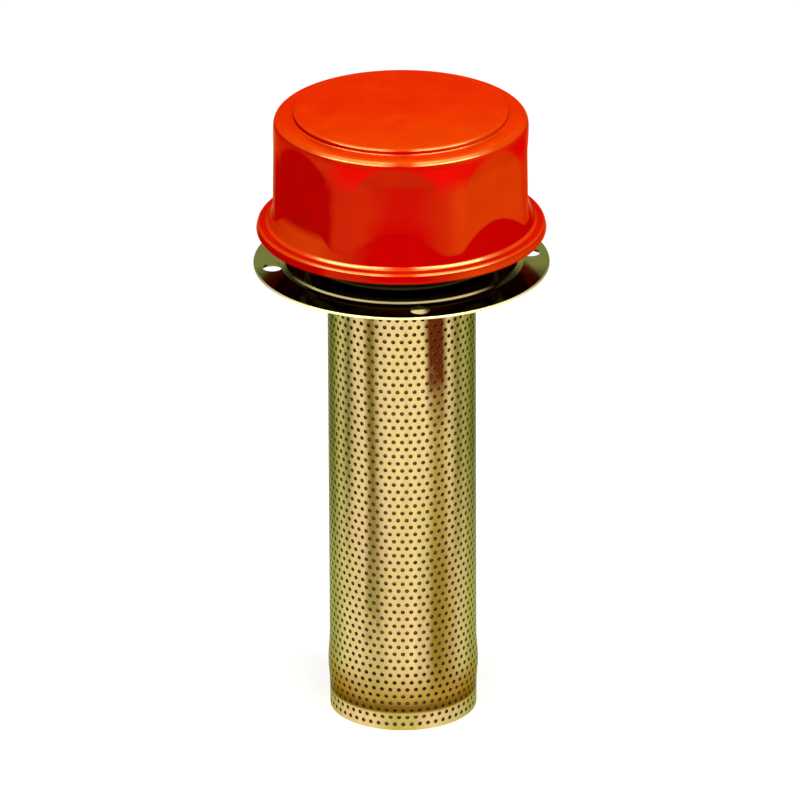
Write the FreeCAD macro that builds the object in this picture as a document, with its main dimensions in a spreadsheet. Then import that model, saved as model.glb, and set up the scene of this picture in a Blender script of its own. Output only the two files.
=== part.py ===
import FreeCAD, Part

import math
import os
import re

import Sketcher
from FreeCAD import Placement, Rotation, Vector

# Filler breather for a hydraulic tank: a moulded bayonet cap with its air element, a pressed flange
# with a drawn neck, and a long perforated strainer that hangs into the tank.
# Millimetres, +Z up. The origin is the centre of the tank face, under the flange gasket.

# Driving dimensions: each name, its value, and what it is on the real piece.
SIZES = [
    ("tube_radius", 20.85, "strainer tube, outside radius"),
    ("strainer_length", 135.8, "strainer tube, from the collar's top to the open end"),
    ("strainer_sheet", 0.6, "perforated sheet of the strainer"),
    ("perforation_radius", 2.4, "opening in the strainer wall"),
    ("perforation_rise", 10.6, "height from one row of openings to the next"),
    ("perforations_per_row", 10, "openings in one row"),
    ("perforation_margin", 6.4, "plain edge from the tube's end to the first row's middle"),
    ("bead_low", 6.0, "start of the swaged bead above the tube's end"),
    ("bead_rise", 7.5, "height from the bead's start to its crest"),
    ("bead_fall", 8.5, "height from the bead's crest to its upper end"),
    ("bead_height", 0.42, "how far the bead stands out"),
    ("bead_round", 36.0, "rounding of the bead's three bends"),
    ("cup_height", 6.0, "strainer bottom, depth of the cup above the tube's end"),
    ("cup_clear", 0.5, "strainer bottom, its skirt ends this far above the tube's end"),
    ("cup_bend", 1.2, "strainer bottom, bend between disc and skirt"),
    ("cup_hole_radius", 1.5, "drain opening in the strainer bottom"),
    ("cup_ring_pitch", 6.0, "radius step between the rings of drain openings"),
    ("cup_ring_count", 6, "drain openings in the inner ring, and more by this in the next"),
    ("fit_gap", 0.1, "clearance between pressed sheet pieces that slip into each other"),
    ("gauze_thick", 0.2, "wire gauze that lines the strainer"),
    ("collar_sheet", 0.6, "sheet of the strainer collar"),
    ("collar_skirt", 6.6, "strainer collar, skirt below the rim"),
    ("collar_bend", 0.8, "strainer collar, bend between rim and skirt"),
    ("gasket_thick", 1.6, "flange gasket"),
    ("gasket_room", 0.9, "gap from the collar's skirt to the gasket"),
    ("flange_sheet", 0.8, "sheet of the flange"),
    ("plateau_rise", 1.0, "height of the raised seat in the flange"),
    ("step_run", 1.1, "width of the sloping step round the raised seat"),
    ("step_round", 0.6, "bends of the sloping step"),
    ("rim_gap", 1.4, "gap from the step to the collar's rim and the gasket"),
    ("neck_step", 5.15, "radius from the strainer tube to the outside of the neck"),
    ("neck_rise", 9.4, "height of the neck above the raised seat"),
    ("neck_bend", 1.5, "bend between the raised seat and the neck"),
    ("plateau_width", 6.9, "radius from the neck to the edge of the raised seat"),
    ("bolt_land", 3.6, "radius from the edge of the raised seat to the bolt circle"),
    ("edge_land", 5.0, "radius from the bolt circle to the flange's edge"),
    ("bolt_hole_radius", 2.75, "screw hole in the flange"),
    ("bolt_count", 4, "screw holes in the flange"),
    ("edge_round", 0.3, "rounding of the flange's edge"),
    ("ring_sheet", 1.2, "sheet of the bayonet ring"),
    ("ring_skirt", 2.6, "bayonet ring, skirt outside the neck"),
    ("ring_round", 0.8, "bayonet ring, rounding of its top edges"),
    ("lip_reach", 7.5, "how far the bayonet ring reaches in from the neck's outside"),
    ("lip_depth", 1.6, "bayonet ring, lip below its top sheet"),
    ("notch_side_gap", 0.7, "gap from the strip's sides to the sides of the notches"),
    ("notch_room", 1.2, "gap from the strip's ends to the ends of the notches"),
    ("ramp_rise", 1.1, "bayonet ring, height of the lead-in ramps"),
    ("stop_width", 2.0, "bayonet ring, width of the stop tabs"),
    ("stop_drop", 2.0, "bayonet ring, stop tabs below the lip"),
    ("ear_reach", 4.0, "how far the strip's ears reach out under the lip"),
    ("ear_gap", 0.3, "gap between the ears and the lip"),
    ("strip_thick", 2.0, "bayonet strip, thickness"),
    ("strip_width", 12.0, "bayonet strip, width"),
    ("strip_round", 2.5, "bayonet strip, rounded corners"),
    ("screw_radius", 2.5, "centre screw, shank"),
    ("screw_clear", 0.2, "clearance round the screw's shank"),
    ("head_radius", 4.4, "centre screw, head"),
    ("head_height", 3.5, "centre screw, head height"),
    ("head_round", 0.6, "centre screw, rounding of the head"),
    ("socket_radius", 2.3, "centre screw, corner radius of the hexagon socket"),
    ("socket_depth", 2.0, "centre screw, depth of the socket"),
    ("washer_thick", 1.2, "spring washer"),
    ("washer_width", 1.9, "spring washer, width of its section"),
    ("washer_slit", 0.9, "spring washer, its cut"),
    ("sleeve_wall", 1.3, "spacer sleeve, wall"),
    ("seal_thick", 2.0, "cap seal"),
    ("seal_inset", 1.0, "cap seal, from the lip's edge to the seal's bore"),
    ("seal_overhang", 0.3, "cap seal, past the neck's outside"),
    ("plate_sheet", 1.0, "seal plate"),
    ("plate_rim", 2.6, "seal plate, height of its turned-up rim"),
    ("plate_bend", 0.8, "seal plate, bend of its rim"),
    ("swivel_gap", 0.3, "running gap round the spacer sleeve"),
    ("air_hole_radius", 2.3, "seal plate, air opening"),
    ("air_hole_circle", 10.6, "seal plate, radius of the ring of air openings"),
    ("air_hole_count", 8, "seal plate, air openings"),
    ("felt_thick", 1.0, "felt seal under the air element"),
    ("end_cap_sheet", 0.8, "sheet of the air element's end caps"),
    ("end_cap_rim", 2.4, "height of the end caps' rims"),
    ("end_cap_gap", 0.4, "gap from the seal plate's rim to the air element"),
    ("paper_height", 16.0, "pleated paper, height between the end caps"),
    ("paper_room", 0.3, "gap from the end caps' rims to the pleats"),
    ("pleat_depth", 7.0, "pleated paper, depth of one side of a pleat"),
    ("pleat_shift", 3.0, "pleated paper, inner face against outer face, along the radius"),
    ("pleat_count", 36, "pleats"),
    ("core_gap", 0.4, "gap from the pleats to the core"),
    ("core_sheet", 0.8, "perforated core of the air element"),
    ("core_hole_radius", 2.2, "opening in the core"),
    ("core_hole_count", 8, "openings in one row of the core"),
    ("core_hole_rows", 2, "rows of openings in the core"),
    ("spring_length", 9.4, "seal spring, fitted length"),
    ("spring_seat_gap", 0.3, "gap at each end of the seal spring"),
    ("spring_radius", 9.6, "seal spring, middle radius of the coil"),
    ("spring_wire", 0.6, "seal spring, radius of the wire"),
    ("spring_turns", 3, "seal spring, turns"),
    ("cover_wall", 2.3, "cap cover, wall"),
    ("cover_step", 10.4, "radius from the neck to the outside of the cap cover at its brim"),
    ("cover_draft", 0.7, "cap cover, how much narrower its body is at the shoulder"),
    ("facet_depth", 2.6, "cap cover, depth of the grip flats"),
    ("facet_count", 7, "cap cover, grip flats"),
    ("facet_turn", -100.6, "cap cover, direction of the first grip flat, degrees"),
    ("facet_crease", 8.0, "cap cover, from the shoulder down to the bend of a flat"),
    ("facet_arch", 1.8, "cap cover, from the shoulder down to the top of a flat's arch"),
    ("crease_round", 3.0, "cap cover, rounding of the bend of a flat"),
    ("shoulder_round", 2.4, "cap cover, rounding of the shoulder"),
    ("crown_inset", 6.2, "cap cover, from the outside to the edge of the raised crown"),
    ("crown_rise", 1.7, "cap cover, height of the raised crown"),
    ("crown_round", 0.8, "cap cover, rounding of the crown's edge"),
    ("crown_foot_round", 0.5, "cap cover, rounding at the crown's foot"),
    ("inside_round", 0.5, "cap cover, rounding inside"),
    ("flare_run", 1.4, "cap cover, how far the flare opens above the brim"),
    ("flare_rise", 3.15, "cap cover, height of the flare"),
    ("flare_bite", 0.7, "cap cover, how far the flare's cone runs in behind the flats"),
    ("brim_reach", 4.3, "cap cover, from the body's outside to the brim's edge"),
    ("brim_thick", 3.4, "cap cover, thickness of the brim"),
    ("brim_round", 1.3, "cap cover, rounding of the brim's edge"),
    ("brim_taper", 0.3, "cap cover, how much narrower the brim is at its top"),
    ("brim_foot_round", 0.6, "cap cover, rounding at the foot of the flare"),
    ("brim_drop", 2.6, "cap cover, brim's underside below the neck's top face"),
    ("air_gap", 1.9, "gap from the grip flats' inside to the seal plate"),
    ("boss_radius", 7.0, "cap cover, centre boss"),
    ("boss_gap", 2.8, "gap from the air element to the centre boss"),
    ("insert_radius", 4.2, "threaded insert"),
    ("insert_length", 6.0, "threaded insert, length"),
    ("rib_thick", 1.6, "cap cover, ribs under the crown"),
    ("rib_height", 2.2, "cap cover, height of the ribs"),
    ("rib_gap", 1.0, "gap from the seal spring to the ribs"),
]

doc = FreeCAD.newDocument("filler_breather")
sheet = doc.addObject("Spreadsheet::Sheet", "sizes")
for row, (alias, value, meaning) in enumerate(SIZES, start=1):
    sheet.set("A%d" % row, meaning)
    sheet.set("B%d" % row, str(value))
    sheet.setAlias("B%d" % row, alias)
doc.recompute()

ALIAS_WORD = re.compile(r"\b(%s)\b" % "|".join(alias for alias, value, meaning in SIZES))


def bind(text):
    """The expression with every size's name pointing at its cell in the sheet."""
    return ALIAS_WORD.sub(r"sizes.\1", text)


def number(text):
    """The present value of an expression."""
    return float(sheet.evalExpression(bind(text)))


def drive(thing, place, text):
    """Tie one property of an object to an expression of the sheet's sizes."""
    thing.setExpression(place, bind(text))


# Radii, from the strainer outwards.
tube_inner = "(tube_radius - strainer_sheet)"
cup_radius = f"({tube_inner} - fit_gap)"
skirt_inner = "(tube_radius + fit_gap)"
skirt_outer = f"({skirt_inner} + collar_sheet)"
neck_radius = "(tube_radius + neck_step)"
neck_inner = f"({neck_radius} - flange_sheet)"
plateau_radius = f"({neck_radius} + plateau_width)"
seat_radius = f"({plateau_radius} - rim_gap)"
bolt_circle = f"({plateau_radius} + bolt_land)"
flange_radius = f"({bolt_circle} + edge_land)"
lip_inner = f"({neck_radius} - lip_reach)"
lip_outer = f"({lip_inner} + ring_sheet)"
strip_reach = f"({lip_inner} + ear_reach)"
notch_reach = f"({strip_reach} + notch_room)"
notch_half = "(strip_width / 2 + notch_side_gap)"
sleeve_inner = "(screw_radius + screw_clear)"
sleeve_radius = f"({sleeve_inner} + sleeve_wall)"
swivel_radius = f"({sleeve_radius} + swivel_gap)"
cover_radius = f"({neck_radius} + cover_step)"
flat_radius = f"({cover_radius} - facet_depth)"
plate_radius = f"({flat_radius} - cover_wall - air_gap)"
element_radius = f"({plate_radius} - plate_sheet - end_cap_gap)"
paper_radius = f"({element_radius} - end_cap_sheet - paper_room)"
paper_inner = f"({paper_radius} - pleat_depth - pleat_shift)"
core_radius = f"({paper_inner} - core_gap)"
core_inner = f"({core_radius} - core_sheet)"
crown_radius = f"({cover_radius} - crown_inset)"
brim_radius = f"({cover_radius} + brim_reach)"
flare_foot = f"({cover_radius} + flare_run)"

# Heights, from the tank face upwards.
flange_low = "(gasket_thick + collar_sheet - plateau_rise)"
flange_top = f"({flange_low} + flange_sheet)"
seat_low = "(gasket_thick + collar_sheet)"
seat_top = f"({seat_low} + flange_sheet)"
tube_end = f"({seat_low} - strainer_length)"
tube_top = f"({seat_low} - collar_bend - collar_sheet)"
cup_top = f"({tube_end} + cup_height)"
neck_top = f"({seat_top} + neck_rise)"
ring_top = f"({neck_top} + ring_sheet)"
lip_low = f"({neck_top} - lip_depth)"
strip_top = f"({lip_low} - ear_gap)"
strip_low = f"({strip_top} - strip_thick)"
washer_low = f"({strip_low} - washer_thick)"
head_low = f"({washer_low} - head_height)"
plate_low = f"({ring_top} + seal_thick)"
plate_top = f"({plate_low} + plate_sheet)"
felt_top = f"({plate_top} + felt_thick)"
paper_low = f"({felt_top} + end_cap_sheet)"
paper_top = f"({paper_low} + paper_height)"
element_top = f"({paper_top} + end_cap_sheet)"
boss_low = f"({element_top} + boss_gap)"
insert_top = f"({boss_low} + insert_length)"
ceiling = f"({element_top} + spring_length + 2 * spring_seat_gap)"
crown_top = f"({ceiling} + cover_wall)"
shoulder_top = f"({crown_top} - crown_rise)"
brim_low = f"({ring_top} - brim_drop)"
brim_top = f"({brim_low} + brim_thick)"


def new_body(label):
    """An empty body with its own label."""
    body = doc.addObject("PartDesign::Body", label)
    body.Label = label
    return body


def origin_part(body, role):
    """One of the body's own origin planes or axes, by its role."""
    return [part for part in body.Origin.OriginFeatures if part.Role == role][0]


def new_sketch(body, name, plane, offset="0"):
    """An empty sketch on an origin plane, moved along the plane's normal by an expression."""
    sketch = body.newObject("Sketcher::SketchObject", name)
    sketch.AttachmentSupport = (origin_part(body, plane), [""])
    sketch.MapMode = "FlatFace"
    if offset != "0":
        drive(sketch, "AttachmentOffset.Base.z", offset)
    return sketch


def pin_point(sketch, name, geometry, position, across, up):
    """Hold one point of a sketch at the coordinates that two expressions give."""
    for kind, letter, text in (("DistanceX", "x", across), ("DistanceY", "y", up)):
        constraint = Sketcher.Constraint(kind, -1, 1, geometry, position, number(text))
        index = sketch.addConstraint(constraint)
        sketch.renameConstraint(index, name + letter)
        drive(sketch, "Constraints." + name + letter, text)


def draw_outline(sketch, corners):
    """A closed outline through the corners (across, up) or (across, up, rounding)."""
    count = len(corners)
    points = [Vector(number(corner[0]), number(corner[1]), 0) for corner in corners]
    radii = [number(corner[2]) if len(corner) > 2 else 0.0 for corner in corners]
    arrive = list(points)
    leave = list(points)
    rounds = {}
    for index in range(count):
        if radii[index] == 0.0:
            continue
        point = points[index]
        back = (points[index - 1] - point).normalize()
        ahead = (points[(index + 1) % count] - point).normalize()
        half = back.getAngle(ahead) / 2
        arrive[index] = point + back * (radii[index] / math.tan(half))
        leave[index] = point + ahead * (radii[index] / math.tan(half))
        middle = point + (back + ahead).normalize() * (radii[index] / math.sin(half))
        turns_left = back.cross(ahead).z < 0
        rounds[index] = (middle, turns_left)
    for index in range(count):
        sketch.addGeometry(Part.LineSegment(leave[index], arrive[(index + 1) % count]), False)
    for index in range(count):
        before = (index - 1) % count
        name = "p%d" % index
        if index not in rounds:
            sketch.addConstraint(Sketcher.Constraint("Coincident", before, 2, index, 1))
            pin_point(sketch, name, index, 1, corners[index][0], corners[index][1])
            continue
        middle, turns_left = rounds[index]
        first, last = (arrive[index], leave[index]) if turns_left else (leave[index], arrive[index])
        start = math.atan2(first.y - middle.y, first.x - middle.x)
        stop = math.atan2(last.y - middle.y, last.x - middle.x)
        if stop < start:
            stop += 2 * math.pi
        circle = Part.Circle(middle, Vector(0, 0, 1), radii[index])
        arc = sketch.addGeometry(Part.ArcOfCircle(circle, start, stop), False)
        corner = sketch.addGeometry(Part.Point(points[index]), True)
        arc_in, arc_out = (1, 2) if turns_left else (2, 1)
        sketch.addConstraint(Sketcher.Constraint("Tangent", before, 2, arc, arc_in))
        sketch.addConstraint(Sketcher.Constraint("Tangent", index, 1, arc, arc_out))
        sketch.addConstraint(Sketcher.Constraint("PointOnObject", corner, 1, before))
        sketch.addConstraint(Sketcher.Constraint("PointOnObject", corner, 1, index))
        pin_point(sketch, name, corner, 1, corners[index][0], corners[index][1])
        radius = sketch.addConstraint(Sketcher.Constraint("Radius", arc, radii[index]))
        sketch.renameConstraint(radius, name + "r")
        drive(sketch, "Constraints." + name + "r", corners[index][2])


def draw_circle(sketch, across, up, radius):
    """A circle at the place and of the radius that three expressions give."""
    centre = Vector(number(across), number(up), 0)
    circle = sketch.addGeometry(Part.Circle(centre, Vector(0, 0, 1), number(radius)), False)
    pin_point(sketch, "c", circle, 3, across, up)
    index = sketch.addConstraint(Sketcher.Constraint("Radius", circle, number(radius)))
    sketch.renameConstraint(index, "cr")
    drive(sketch, "Constraints.cr", radius)


def turn(body, name, corners):
    """A revolved feature: the outline in radius and height, turned about the Z axis."""
    sketch = new_sketch(body, name + "_section", "XZ_Plane")
    draw_outline(sketch, corners)
    feature = body.newObject("PartDesign::Revolution", name)
    feature.Profile = sketch
    feature.ReferenceAxis = (sketch, ["V_Axis"])
    feature.Angle = 360.0
    doc.recompute()
    return feature


def cut_through(body, name, sketch):
    """A pocket that runs right through the body, both ways from its sketch."""
    volume = body.Shape.Volume
    feature = body.newObject("PartDesign::Pocket", name)
    feature.Profile = sketch
    feature.SideType = "Symmetric"
    feature.Type = "ThroughAll"
    doc.recompute()
    if not body.Shape.Volume < volume:
        raise RuntimeError(name + " cuts nothing")
    return feature


def cut_depth(body, name, sketch, depth, reverse):
    """A pocket of stated depth to one side of its sketch."""
    volume = body.Shape.Volume
    feature = body.newObject("PartDesign::Pocket", name)
    feature.Profile = sketch
    feature.Reversed = reverse
    drive(feature, "Length", depth)
    doc.recompute()
    if not body.Shape.Volume < volume:
        raise RuntimeError(name + " cuts nothing")
    return feature


def repeat_round(body, name, features, count):
    """Copies of the features, evenly round the Z axis."""
    pattern = body.newObject("PartDesign::PolarPattern", name)
    pattern.Originals = features
    pattern.Axis = (origin_part(body, "Z_Axis"), [""])
    pattern.Angle = 360.0
    drive(pattern, "Occurrences", count)
    body.Tip = pattern
    doc.recompute()
    return pattern


def plain_ring(label, inner, outer, low, high):
    """A flat ring or a plain tube, turned from a rectangle."""
    body = new_body(label)
    turn(body, label + "_ring", [(inner, low), (outer, low), (outer, high), (inner, high)])
    return body


def make_flange_plate():
    """One pressed sheet: flat rim with screw holes, sloping step, raised seat and drawn neck."""
    body = new_body("flange_plate")
    sheet_shift = "(flange_sheet * tan(atan(plateau_rise / step_run) / 2))"
    turn(body, "flange_pressing", [
        (neck_inner, seat_low, "neck_bend + flange_sheet"),
        (f"{plateau_radius} - {sheet_shift}", seat_low, "step_round"),
        (f"{plateau_radius} + step_run - {sheet_shift}", flange_low, "step_round"),
        (flange_radius, flange_low, "edge_round"),
        (flange_radius, flange_top, "edge_round"),
        (f"{plateau_radius} + step_run", flange_top, "step_round"),
        (plateau_radius, seat_top, "step_round"),
        (neck_radius, seat_top, "neck_bend"),
        (neck_radius, neck_top),
        (neck_inner, neck_top),
    ])
    hole = new_sketch(body, "screw_hole_circle", "XY_Plane")
    draw_circle(hole, bolt_circle, "0", "bolt_hole_radius")
    pocket = cut_through(body, "screw_hole", hole)
    repeat_round(body, "screw_holes", [pocket], "bolt_count")
    return body


def make_bayonet_ring():
    """The ring crimped over the neck: inward lip with two notches, lead-in ramps and stop tabs."""
    body = new_body("bayonet_ring")
    bore = f"({neck_radius} + fit_gap)"
    turn(body, "ring_pressing", [
        (lip_inner, lip_low),
        (lip_outer, lip_low),
        (lip_outer, neck_top),
        (bore, neck_top),
        (bore, f"{neck_top} - ring_skirt"),
        (f"{bore} + ring_sheet", f"{neck_top} - ring_skirt"),
        (f"{bore} + ring_sheet", ring_top, "ring_round"),
        (lip_inner, ring_top, "ring_round"),
    ])
    tab_sketch = new_sketch(body, "stop_tab_outline", "XY_Plane", lip_low)
    draw_outline(tab_sketch, [
        ("-stop_width / 2", f"{lip_inner} + fit_gap"),
        ("stop_width / 2", f"{lip_inner} + fit_gap"),
        ("stop_width / 2", f"{lip_outer} - fit_gap"),
        ("-stop_width / 2", f"{lip_outer} - fit_gap"),
    ])
    tab = body.newObject("PartDesign::Pad", "stop_tab")
    tab.Profile = tab_sketch
    tab.SideType = "Symmetric"
    drive(tab, "Length", "2 * stop_drop")
    doc.recompute()
    ramp_sketch = new_sketch(body, "ramp_outline", "YZ_Plane")
    draw_outline(ramp_sketch, [
        ("0", f"{lip_low} - stop_drop - ramp_rise"),
        (f"{lip_inner} - stop_width", f"{lip_low} - stop_drop - ramp_rise"),
        (f"{lip_inner} - stop_width", lip_low),
        (notch_half, f"{lip_low} + ramp_rise"),
        ("0", f"{lip_low} + ramp_rise"),
    ])
    ramp = cut_depth(body, "ramp", ramp_sketch, notch_reach, False)
    repeat_round(body, "ramps_and_tabs", [tab, ramp], "2")
    notch_sketch = new_sketch(body, "notch_outline", "XY_Plane")
    draw_outline(notch_sketch, [
        (f"-{notch_reach}", f"-{notch_half}"),
        (notch_reach, f"-{notch_half}"),
        (notch_reach, notch_half),
        (f"-{notch_reach}", notch_half),
    ])
    body.Tip = cut_through(body, "notches", notch_sketch)
    return body


def make_strainer_collar():
    """The flanged collar that hangs the strainer between the flange's raised seat and the gasket."""
    body = new_body("strainer_collar")
    turn(body, "collar_pressing", [
        (skirt_inner, f"{seat_low} - collar_skirt"),
        (skirt_outer, f"{seat_low} - collar_skirt"),
        (skirt_outer, "gasket_thick", "collar_bend"),
        (seat_radius, "gasket_thick"),
        (seat_radius, seat_low),
        (skirt_inner, seat_low, "collar_bend + collar_sheet"),
    ])
    return body


def perforate(label, wall, inner, outer, radius, heights, per_row):
    """The wall less one radial rod for each opening, in rows staggered by half a pitch.

    Quarter-pitch turns keep every rod off the wall's seam, which lies in the direction of +X.
    """
    rods = []
    for row, height in enumerate(heights):
        for place in range(per_row):
            angle = 2 * math.pi * (place + (0.25 if row % 2 else 0.75)) / per_row
            outwards = Vector(math.cos(angle), math.sin(angle), 0)
            start = outwards * (inner / 2) + Vector(0, 0, height)
            rods.append(Part.makeCylinder(radius, outer - inner / 2, start, outwards))
    punches = doc.addObject("Part::Feature", label + "_punches")
    punches.Shape = Part.makeCompound(rods)
    punches.Placement = Placement(Vector(0, 0, 0), Rotation())
    perforated = doc.addObject("Part::Cut", label)
    perforated.Label = label
    perforated.Base = wall
    perforated.Tool = punches
    doc.recompute()
    return perforated


def make_strainer_tube():
    """Rolled perforated sheet with a swaged bead near its open end."""
    wall = new_body("strainer_wall")
    crest = "(tube_radius + bead_height)"
    low = f"({tube_end} + bead_low)"
    middle = f"({low} + bead_rise)"
    high = f"({middle} + bead_fall)"
    turn(wall, "tube_wall", [
        (tube_inner, tube_end),
        ("tube_radius", tube_end),
        ("tube_radius", low, "bead_round"),
        (crest, middle, "bead_round"),
        ("tube_radius", high, "bead_round"),
        ("tube_radius", tube_top),
        (tube_inner, tube_top),
        (tube_inner, high, "bead_round"),
        (f"{crest} - strainer_sheet", middle, "bead_round"),
        (tube_inner, low, "bead_round"),
    ])
    first = number(f"{tube_end} + perforation_margin")
    last = number(f"{seat_low} - collar_skirt - perforation_radius")
    rise = number("perforation_rise")
    heights = [first + row * rise for row in range(int((last - first) / rise) + 1)]
    return perforate("strainer_tube", wall, number(tube_inner), number(f"{crest} + strainer_sheet"),
                     number("perforation_radius"), heights, int(number("perforations_per_row")))


def make_strainer_bottom():
    """The pressed cup that closes the strainer, with rings of drain openings."""
    body = new_body("strainer_bottom")
    turn(body, "cup_pressing", [
        ("0", f"{cup_top} - strainer_sheet"),
        (f"{cup_radius} - strainer_sheet", f"{cup_top} - strainer_sheet", "cup_bend"),
        (f"{cup_radius} - strainer_sheet", f"{tube_end} + cup_clear"),
        (cup_radius, f"{tube_end} + cup_clear"),
        (cup_radius, cup_top, "cup_bend + strainer_sheet"),
        ("0", cup_top),
    ])
    for ring in (1, 2):
        name = "drain_%d" % ring
        sketch = new_sketch(body, name + "_circle", "XY_Plane")
        draw_circle(sketch, f"{ring} * cup_ring_pitch", "0", "cup_hole_radius")
        hole = cut_depth(body, name, sketch, "strainer_length", False)
        repeat_round(body, name + "_ring", [hole], f"{ring} * cup_ring_count")
    return body


def make_seal_plate():
    """The pressed tray that carries the cap seal below and the air element above."""
    body = new_body("seal_plate")
    turn(body, "plate_pressing", [
        (swivel_radius, plate_low),
        (plate_radius, plate_low, "plate_bend + plate_sheet"),
        (plate_radius, f"{plate_top} + plate_rim"),
        (f"{plate_radius} - plate_sheet", f"{plate_top} + plate_rim"),
        (f"{plate_radius} - plate_sheet", plate_top, "plate_bend"),
        (swivel_radius, plate_top),
    ])
    sketch = new_sketch(body, "air_hole_circle_sketch", "XY_Plane")
    draw_circle(sketch, "air_hole_circle", "0", "air_hole_radius")
    hole = cut_through(body, "air_hole", sketch)
    repeat_round(body, "air_holes", [hole], "air_hole_count")
    return body


def make_element_bottom_cap():
    """The ring-shaped lower end cap of the air element."""
    body = new_body("element_bottom_cap")
    turn(body, "bottom_cap_pressing", [
        (core_inner, felt_top),
        (element_radius, felt_top),
        (element_radius, f"{paper_low} + end_cap_rim"),
        (f"{element_radius} - end_cap_sheet", f"{paper_low} + end_cap_rim"),
        (f"{element_radius} - end_cap_sheet", paper_low),
        (core_inner, paper_low),
    ])
    return body


def make_element_top_cap():
    """The upper end cap of the air element, closed up to the spacer sleeve."""
    body = new_body("element_top_cap")
    turn(body, "top_cap_pressing", [
        (swivel_radius, paper_top),
        (f"{element_radius} - end_cap_sheet", paper_top),
        (f"{element_radius} - end_cap_sheet", f"{paper_top} - end_cap_rim"),
        (element_radius, f"{paper_top} - end_cap_rim"),
        (element_radius, element_top, "end_cap_sheet"),
        (swivel_radius, element_top),
    ])
    return body


def make_element_core():
    """The perforated tube inside the pleats."""
    wall = plain_ring("core_wall", core_inner, core_radius, paper_low, paper_top)
    low = number(paper_low)
    height = number("paper_height")
    rows = int(number("core_hole_rows"))
    heights = [low + height * (row + 0.5) / rows for row in range(rows)]
    return perforate("element_core", wall, number(core_inner), number(f"{core_radius} + core_gap"),
                     number("core_hole_radius"), heights, int(number("core_hole_count")))


def make_pleated_paper():
    """The pleated paper: a star-shaped outer face and the same star shifted inwards."""
    pleats = int(number("pleat_count"))
    outer_tip = number(paper_radius)
    depth = number("pleat_depth")
    shift = number("pleat_shift")
    low = number(paper_low)

    def star(tip):
        corners = []
        for step in range(2 * pleats):
            angle = math.pi * step / pleats
            radius = tip - depth * (step % 2)
            corners.append(Vector(radius * math.cos(angle), radius * math.sin(angle), low))
        corners.append(corners[0])
        return Part.Face(Part.makePolygon(corners))

    paper = star(outer_tip).cut(star(outer_tip - shift))
    piece = doc.addObject("Part::Feature", "pleated_paper")
    piece.Label = "pleated_paper"
    piece.Shape = paper.extrude(Vector(0, 0, number("paper_height")))
    piece.Placement = Placement(Vector(0, 0, 0), Rotation())
    return piece


def make_bayonet_strip():
    """The flat steel bar whose two ends hook under the lip of the bayonet ring."""
    body = new_body("bayonet_strip")
    sketch = new_sketch(body, "strip_outline", "XY_Plane", strip_low)
    draw_outline(sketch, [
        (f"-{strip_reach}", "-strip_width / 2", "strip_round"),
        (strip_reach, "-strip_width / 2", "strip_round"),
        (strip_reach, "strip_width / 2", "strip_round"),
        (f"-{strip_reach}", "strip_width / 2", "strip_round"),
    ])
    pad = body.newObject("PartDesign::Pad", "strip_pad")
    pad.Profile = sketch
    drive(pad, "Length", "strip_thick")
    doc.recompute()
    hole_sketch = new_sketch(body, "strip_hole_circle", "XY_Plane")
    draw_circle(hole_sketch, "0", "0", sleeve_inner)
    cut_through(body, "strip_hole", hole_sketch)
    return body


def make_spring_washer():
    """A split ring of square section."""
    body = plain_ring("spring_washer", sleeve_inner, f"{sleeve_inner} + washer_width",
                      washer_low, strip_low)
    sketch = new_sketch(body, "washer_slit_outline", "XY_Plane")
    draw_outline(sketch, [
        ("0", "-washer_slit / 2"),
        (f"{sleeve_inner} + 2 * washer_width", "-washer_slit / 2"),
        (f"{sleeve_inner} + 2 * washer_width", "washer_slit / 2"),
        ("0", "washer_slit / 2"),
    ])
    cut_through(body, "washer_cut", sketch)
    return body


def make_centre_screw():
    """The socket screw that clamps strip and sleeve to the insert in the cover."""
    body = new_body("centre_screw")
    turn(body, "screw_turning", [
        ("0", head_low),
        ("head_radius", head_low, "head_round"),
        ("head_radius", washer_low),
        ("screw_radius", washer_low),
        ("screw_radius", insert_top),
        ("0", insert_top),
    ])
    sketch = new_sketch(body, "socket_outline", "XY_Plane", head_low)
    corners = []
    for step in range(6):
        corners.append((f"socket_radius * cos({60 * step})", f"socket_radius * sin({60 * step})"))
    draw_outline(sketch, corners)
    cut_depth(body, "socket", sketch, "socket_depth", True)
    return body


def make_seal_spring():
    """The coil spring between the cover's ceiling and the air element."""
    low = f"({element_top} + spring_seat_gap + spring_wire)"
    helix = doc.addObject("Part::Helix", "spring_path")
    drive(helix, "Radius", "spring_radius")
    drive(helix, "Pitch", "(spring_length - 2 * spring_wire) / spring_turns")
    drive(helix, "Height", "spring_length - 2 * spring_wire")
    drive(helix, "Placement.Base.z", low)
    wire = doc.addObject("Part::Circle", "spring_wire_section")
    drive(wire, "Radius", "spring_wire")
    wire.Placement = Placement(Vector(0, 0, 0), Rotation(Vector(1, 0, 0), 90))
    drive(wire, "Placement.Base.x", "spring_radius")
    drive(wire, "Placement.Base.z", low)
    spring = doc.addObject("Part::Sweep", "seal_spring")
    spring.Label = "seal_spring"
    spring.Sections = [wire]
    spring.Spine = helix
    spring.Solid = True
    spring.Frenet = True
    doc.recompute()
    return spring


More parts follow.
